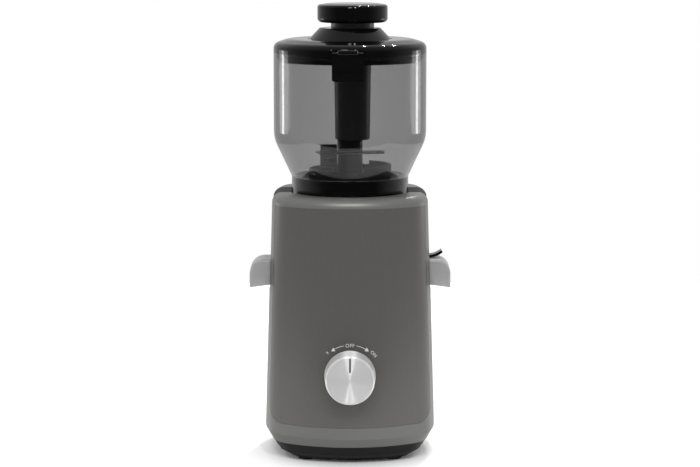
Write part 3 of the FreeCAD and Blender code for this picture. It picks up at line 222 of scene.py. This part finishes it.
# Front panel: a bent sheet of rolled steel under a dark grey metallic coat.
# Its grain runs up the sheet and draws the light out in long streaks.
coated, tree = new_material("coated_rolled_steel")
streaks = grains(tree, 0.5, (1, 1, 60))
close_material(
    tree,
    {"Metallic": 0.5, "Anisotropic": 0.5},
    {
        "Base Color": two_tones(tree, streaks, "5f5e5c", "676663"),
        "Roughness": between(tree, streaks, 0.33, 0.4),
        "Normal": bumps(tree, streaks, 0.002),
    },
)
dress(coated, "front_panel")

# Dial marks: pad-printed in pale grey enamel on the panel, round the dial.
# The print follows the bowed sheet: OFF above the dial, arrows to both sides, R and ON.
dial_height = 0.092
mark_standoff = 0.00005
film_gauge = 0.00004
weld_distance = 0.00001
tower_half_depth = 0.082
tower_widest_height = 0.028
tower_lean = 0.0305
face_bow = 0.115


def on_panel(x, z):
    """Point just in front of the panel, from the tower's lean and the radius of its face."""
    half_depth = tower_half_depth - tower_lean * (z - tower_widest_height)
    bow_centre = face_bow - half_depth
    return Vector((x, bow_centre - math.sqrt(face_bow ** 2 - x ** 2) - mark_standoff, z))


def press_on_panel(piece, turn, lift):
    """Lays a flat mark, drawn in x and y, on the panel: lifted, then turned round the dial."""
    swing = Matrix.Rotation(-turn, 3, "Z")
    for vertex in piece.data.vertices:
        point = swing @ Vector((vertex.co.x, vertex.co.y + lift, 0))
        vertex.co = on_panel(point.x, dial_height + point.y)


enamel, tree = new_material("pale_printing_enamel")
speckle = grains(tree, 0.3)
close_material(
    tree,
    {"Roughness": 0.45},
    {
        "Base Color": two_tones(tree, speckle, "b4b4b0", "c6c6c2"),
        "Normal": bumps(tree, speckle, 0.01),
    },
)
mark_pieces = []
for word, name, degrees, letter_height, lift in (
    ("OFF", "mark_off", 0, 0.0048, 0.0291),
    ("R", "mark_r", -45, 0.0036, 0.0308),
    ("ON", "mark_on", 48, 0.0045, 0.0308),
):
    bpy.ops.object.select_all(action="DESELECT")
    bpy.ops.object.text_add(location=(0, 0, 0))
    text = bpy.context.object
    text.name = name
    text.data.body = word
    text.data.size = letter_height
    text.data.align_x = "CENTER"
    text.data.align_y = "CENTER"
    text.data.space_character = 1.1
    bpy.ops.object.convert(target="MESH")
    word_piece = bpy.context.object
    press_on_panel(word_piece, math.radians(degrees), lift)
    mark_pieces.append(word_piece)

# Each arrow is a thin square swept round the dial, then widened and swept on to a point.
arrow_radius = 0.0297
line_width = 0.0005
head_width = 0.0042
arrow_start = math.radians(12.5)
shaft_sweep = math.radians(18)
head_sweep = math.radians(7)
for side, name in ((-1, "mark_arrow_left"), (1, "mark_arrow_right")):
    bpy.ops.object.select_all(action="DESELECT")
    bpy.ops.mesh.primitive_plane_add(size=line_width, location=(0, arrow_radius, 0))
    arrow = bpy.context.object
    arrow.name = name
    bpy.ops.object.transform_apply(location=True, rotation=True, scale=True)
    bpy.ops.object.mode_set(mode="EDIT")
    bpy.ops.mesh.select_all(action="DESELECT")
    bpy.ops.mesh.select_mode(type="VERT")
    lines = bmesh.from_edit_mesh(arrow.data)
    for vertex in lines.verts:
        vertex.select_set(side * vertex.co.x > 0)
    lines.select_flush(True)
    bmesh.update_edit_mesh(arrow.data)
    bpy.ops.mesh.spin(
        steps=12, angle=-side * shaft_sweep, center=(0, 0, 0), axis=(0, 0, -1),
    )
    bpy.ops.mesh.extrude_region_move()
    bpy.ops.transform.resize(value=(head_width / line_width,) * 3)
    bpy.ops.mesh.spin(
        steps=1, angle=-side * head_sweep, center=(0, 0, 0), axis=(0, 0, -1),
    )
    bpy.ops.mesh.merge(type="CENTER")
    bpy.ops.object.mode_set(mode="OBJECT")
    press_on_panel(arrow, side * arrow_start, 0)
    mark_pieces.append(arrow)
for piece in mark_pieces:
    bpy.ops.object.select_all(action="DESELECT")
    piece.select_set(True)
    bpy.context.view_layer.objects.active = piece
    film = piece.modifiers.new("film", "SOLIDIFY")
    film.thickness = film_gauge
    film.offset = 0
    bpy.ops.object.modifier_apply(modifier=film.name)
    bpy.ops.object.mode_set(mode="EDIT")
    bpy.ops.mesh.select_all(action="SELECT")
    bpy.ops.mesh.remove_doubles(threshold=weld_distance)
    bpy.ops.mesh.normals_make_consistent(inside=False)
    bpy.ops.object.mode_set(mode="OBJECT")
    piece.data.materials.clear()
    piece.data.materials.append(enamel)
    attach(piece, "tower")

# Base pan, dial plinth, switch, gearbox and fan: black ABS with a fine spark-eroded texture.
# It looks nearly black, with a soft sheen on its bends.
textured_black, tree = new_material("textured_black_abs")
pits = grains(tree, 0.45)
close_material(
    tree,
    {"IOR": 1.5, "Specular IOR Level": 0.3},
    {
        "Base Color": two_tones(tree, grains(tree, 1.2), "0c0c0f", "141417"),
        "Roughness": between(tree, grains(tree, 12.0), 0.42, 0.52),
        "Normal": bumps(tree, pits, 0.02),
    },
)
dress(
    textured_black,
    "base_pan", "rotary_switch", "knob_plinth", "gear_case", "gear_lid", "motor_fan",
)

# Feet, cord sleeve and lid gasket: moulded black nitrile rubber, matt all over.
# A dusty bloom varies its black a little.
rubber, tree = new_material("black_nitrile_rubber")
close_material(
    tree,
    {"IOR": 1.52, "Roughness": 0.75},
    {
        "Base Color": two_tones(tree, grains(tree, 2.0), "131314", "1c1c1d"),
        "Normal": bumps(tree, grains(tree, 0.3), 0.02),
    },
)
dress(rubber, "rubber_feet", "cord_gland", "lid_seal")

# Dial: a cup of turned aluminium with a bevelled rim, and a dark line let into its face.
# The turned rings spread each lamp into two opposite cones of light.
# They lie 1.2 mm apart, far coarser than real tool marks, so that they show in the render.
spun, tree = new_material("turned_aluminium")
ring_scale = 260
rings = add_node(
    tree, "TexWave",
    {"wave_type": "RINGS", "rings_direction": "Y", "Scale": 1.0, "Distortion": 0.0},
    {"Vector": object_space(tree, (ring_scale,) * 3, (0, 0, -ring_scale * dial_height))},
)
normal = add_node(tree, "NewGeometry").outputs["Normal"]
facing = add_node(tree, "SeparateXYZ", links={"Vector": normal}).outputs["Y"]
# Painted highlight: where the normal turns away from straight ahead, on the bevel, the tone is
# lifted to a lighter grey than the turned face.
bevel_painted_highlight_mask = add_node(
    tree, "MapRange", {"From Min": -0.97, "From Max": -0.9}, {"Value": facing},
).outputs["Result"]
on_wall = add_node(
    tree, "MapRange", {"From Min": -0.5, "From Max": -0.3}, {"Value": facing},
).outputs["Result"]
# Painted highlight: the bevel takes the light ececec tone in place of the ring tones.
rings_and_painted_bevel_highlight = add_node(
    tree, "Mix", {"data_type": "RGBA", 7: linear("ececec")},
    {0: bevel_painted_highlight_mask, 6: two_tones(tree, rings.outputs["Fac"], "d2d2d2", "dcdcdc")},
)
tone = add_node(
    tree, "Mix", {"data_type": "RGBA", 7: linear("d8d8d8")},
    {0: on_wall, 6: rings_and_painted_bevel_highlight.outputs[2]},
)
tangent = add_node(tree, "Tangent", {"direction_type": "RADIAL", "axis": "Y"})
close_material(
    tree,
    {"Metallic": 0.6, "Anisotropic": 1.0, "Anisotropic Rotation": 0.25},
    {
        "Base Color": tone.outputs[2],
        "Roughness": between(tree, on_wall, 0.35, 0.5),
        "Tangent": tangent.outputs["Tangent"],
    },
)
dress(spun, "knob")
inlay, tree = new_material("dark_inlay_enamel")
close_material(
    tree,
    {"Roughness": 0.4},
    {"Base Color": two_tones(tree, grains(tree, 1.0), "404040", "4a4a4a")},
)
dress(inlay, "knob_pointer")

# Drum with its two spouts: smoke-grey copolyester, frosted by the texture of its mould.
# It lets some light through, so it is lighter on top and darker at its edges.
frosted, tree = new_material("frosted_smoke_copolyester")
close_material(
    tree,
    {"Transmission Weight": 0.4, "IOR": 1.52},
    {
        "Base Color": two_tones(tree, grains(tree, 20.0), "a4a4a4", "acacac"),
        "Roughness": between(tree, grains(tree, 15.0), 0.28, 0.36),
        "Normal": bumps(tree, grains(tree, 1.0), 0.01),
    },
)
dress(frosted, "drum")

# Seals and the clean-out plug: soft grey silicone, moulded.
# It is matt, and light sinks into it a little.
silicone, tree = new_material("grey_silicone")
close_material(
    tree,
    {
        "IOR": 1.41,
        "Roughness": 0.55,
        "Subsurface Weight": 0.1,
        "Subsurface Radius": (0.002, 0.002, 0.002),
    },
    {
        "Base Color": two_tones(tree, grains(tree, 5.0), "8a8a8a", "969696"),
        "Normal": bumps(tree, grains(tree, 0.6), 0.01),
    },
)
dress(silicone, "pulp_plug", "drum_seal", "deck_seal", "hopper_seal")

# Hopper: a clear smoke-grey copolyester vessel with polished walls.
# Its walls dim what is behind them, with bright streaks where they curve away.
clear, tree = new_material("clear_smoke_copolyester")
shader = add_node(
    tree, "BsdfPrincipled",
    {"Transmission Weight": 1.0, "IOR": 1.5},
    {
        "Base Color": two_tones(tree, grains(tree, 60.0), "f4f4f4", "f8f8f8"),
        "Roughness": between(tree, grains(tree, 25.0), 0.01, 0.03),
    },
)
smoke = add_node(tree, "VolumeAbsorption", {"Color": linear("808080"), "Density": 300.0})
add_node(
    tree, "OutputMaterial",
    links={"Surface": shader.outputs["BSDF"], "Volume": smoke.outputs["Volume"]},
)
dress(clear, "hopper")

# Lid, latch, pusher cap, collar, dish, hub cap and lever: black ABS polished to a gloss.
# Small lamps show on it as pin-points, and its edges as thin grey lines.
gloss, tree = new_material("polished_black_abs")
close_material(
    tree,
    {"IOR": 1.5, "Specular IOR Level": 0.35},
    {
        "Base Color": two_tones(tree, grains(tree, 15.0), "050506", "080808"),
        "Roughness": between(tree, grains(tree, 12.0), 0.05, 0.09),
        "Normal": bumps(tree, grains(tree, 8.0), 0.004),
    },
)
dress(
    gloss,
    "lid", "lid_latch", "pusher_cap", "feed_collar", "cutter_dish", "hub_cap", "juice_lever",
)

# Pusher stem: black ABS left satin by its mould, a shade lighter than the lid.
# The long tube shows soft upright bands of light.
satin, tree = new_material("satin_black_abs")
close_material(
    tree,
    {"IOR": 1.5},
    {
        "Base Color": two_tones(tree, grains(tree, 10.0), "262626", "2c2c2c"),
        "Roughness": between(tree, grains(tree, 14.0), 0.26, 0.34),
        "Normal": bumps(tree, grains(tree, 0.6), 0.004),
    },
)
dress(satin, "pusher_stem")

# Auger and the hub under the blades: glass-filled nylon, satin dark grey.
# The fibres leave it slightly rough and a shade lighter than the gloss pieces.
nylon, tree = new_material("glass_filled_nylon")
close_material(
    tree,
    {"IOR": 1.53},
    {
        "Base Color": two_tones(tree, grains(tree, 4.0), "2a2a2c", "323234"),
        "Roughness": between(tree, grains(tree, 6.0), 0.3, 0.4),
        "Normal": bumps(tree, grains(tree, 0.8), 0.01),
    },
)
dress(nylon, "auger", "cutter_hub")

# Blades, basket, pins, screws and shafts: stainless steel, brushed from side to side.
# It shows fine lines and a soft gleam.
brushed, tree = new_material("brushed_stainless")
scratches = grains(tree, 0.6, (40, 1, 1))
close_material(
    tree,
    {"Metallic": 1.0},
    {
        "Base Color": two_tones(tree, scratches, "a8a8aa", "bcbcbe"),
        "Roughness": between(tree, scratches, 0.22, 0.34),
        "Normal": bumps(tree, scratches, 0.004),
    },
)
dress(
    brushed,
    "wing_blade", "tall_blade", "filter_basket", "lever_pin", "lid_hinge_pin", "latch_pin",
    "base_screws", "gear_screws", "switch_shaft", "motor_shaft", "motor_pinion", "compound_pin",
    "output_shaft",
)

# Motor: zinc-plated can and caps, laminated cores and enamelled copper wire.
# The zinc is a cool, cloudy grey, and the wire shines in fine upright lines.
plated, tree = new_material("zinc_plated_steel")
clouds = grains(tree, 6.0)
close_material(
    tree,
    {"Metallic": 1.0},
    {
        "Base Color": two_tones(tree, clouds, "94969a", "a2a4a8"),
        "Roughness": between(tree, clouds, 0.3, 0.45),
    },
)
dress(plated, "motor_can", "motor_lower_cap", "motor_upper_cap", "stator", "rotor_core")
enamelled, tree = new_material("enamelled_copper_wire")
wires = grains(tree, 0.6, (1, 1, 10))
close_material(
    tree,
    {"Metallic": 0.9, "Roughness": 0.3},
    {
        "Base Color": two_tones(tree, wires, "a85c30", "c07646"),
        "Normal": bumps(tree, wires, 0.1),
    },
)
dress(enamelled, "windings")

# Gears, bushes and board: natural acetal, sintered bronze and a lacquered circuit board.
# The acetal is milky, the bronze finely porous and the board green under its lacquer.
acetal, tree = new_material("natural_acetal")
close_material(
    tree,
    {"IOR": 1.48, "Subsurface Weight": 0.08, "Subsurface Radius": (0.002, 0.002, 0.002)},
    {
        "Base Color": two_tones(tree, grains(tree, 8.0), "e0ded6", "e8e6de"),
        "Roughness": between(tree, grains(tree, 5.0), 0.3, 0.42),
    },
)
dress(acetal, "compound_gear", "output_gear")
sintered, tree = new_material("sintered_bronze")
pores = grains(tree, 0.4)
close_material(
    tree,
    {"Metallic": 1.0, "Roughness": 0.45},
    {
        "Base Color": two_tones(tree, pores, "a07848", "b08858"),
        "Normal": bumps(tree, pores, 0.03),
    },
)
dress(sintered, "motor_bearings", "output_bush")
lacquered, tree = new_material("lacquered_circuit_board")
close_material(
    tree,
    {"Roughness": 0.3},
    {"Base Color": two_tones(tree, grains(tree, 2.0), "28543a", "306444")},
)
dress(lacquered, "control_board")
